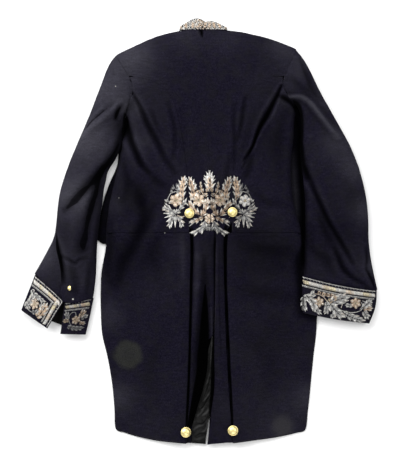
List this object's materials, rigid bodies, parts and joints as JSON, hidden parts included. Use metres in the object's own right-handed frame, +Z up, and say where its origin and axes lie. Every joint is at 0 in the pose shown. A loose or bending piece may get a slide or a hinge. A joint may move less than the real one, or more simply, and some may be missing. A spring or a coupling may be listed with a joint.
{
  "type": "embroidered uniform tail coat, laid flat face down",
  "caption": "Dark wool uniform tail coat laid flat on its front, back up, with metal-thread embroidery at waist, cuffs and collar, and gilt buttons.",
  "frame": {"origin": "bottom centre of the bounding box, on the surface the coat lies on", "axes": "+X across the coat, to the right as seen from above; +Y from hem to collar; +Z up from the surface"},
  "size_m": [0.8558, 1.0224, 0.043],
  "materials": {
    "broadcloth": "blue-black milled wool broadcloth, matt with a faint nap sheen",
    "satin_lining": "black cotton satin, soft lustre, creased",
    "metal_thread": "couched silver and silver-gilt purl, plate and cord, tarnished",
    "gilt_button": "polished gilt, plain domed face"
  },
  "bodies": {
    "root": {"back_left": "broadcloth", "side_body_left": "broadcloth", "skirt_left": "broadcloth", "pleat_left": "broadcloth", "front_left": "broadcloth", "undersleeve_left": "broadcloth", "topsleeve_left": "broadcloth", "back_right": "broadcloth", "side_body_right": "broadcloth", "skirt_right": "broadcloth", "pleat_right": "broadcloth", "front_right": "broadcloth", "undersleeve_right": "broadcloth", "topsleeve_right": "broadcloth", "vent_lining_left": "satin_lining", "collar": "broadcloth", "collar_embroidery": "metal_thread", "cuff_right": "broadcloth", "cuff_embroidery_right": "metal_thread", "cuff_left": "broadcloth", "cuff_embroidery_left_outer": "metal_thread", "cuff_embroidery_left_inner": "metal_thread", "waist_embroidery_left": "metal_thread", "waist_embroidery_centre_left": "metal_thread", "waist_embroidery_centre_right": "metal_thread", "waist_embroidery_right": "metal_thread", "hip_button_left": "gilt_button", "hip_button_right": "gilt_button", "hem_button_left": "gilt_button", "hem_button_right": "gilt_button", "cuff_button_left": "gilt_button"}
  },
  "joints": []
}
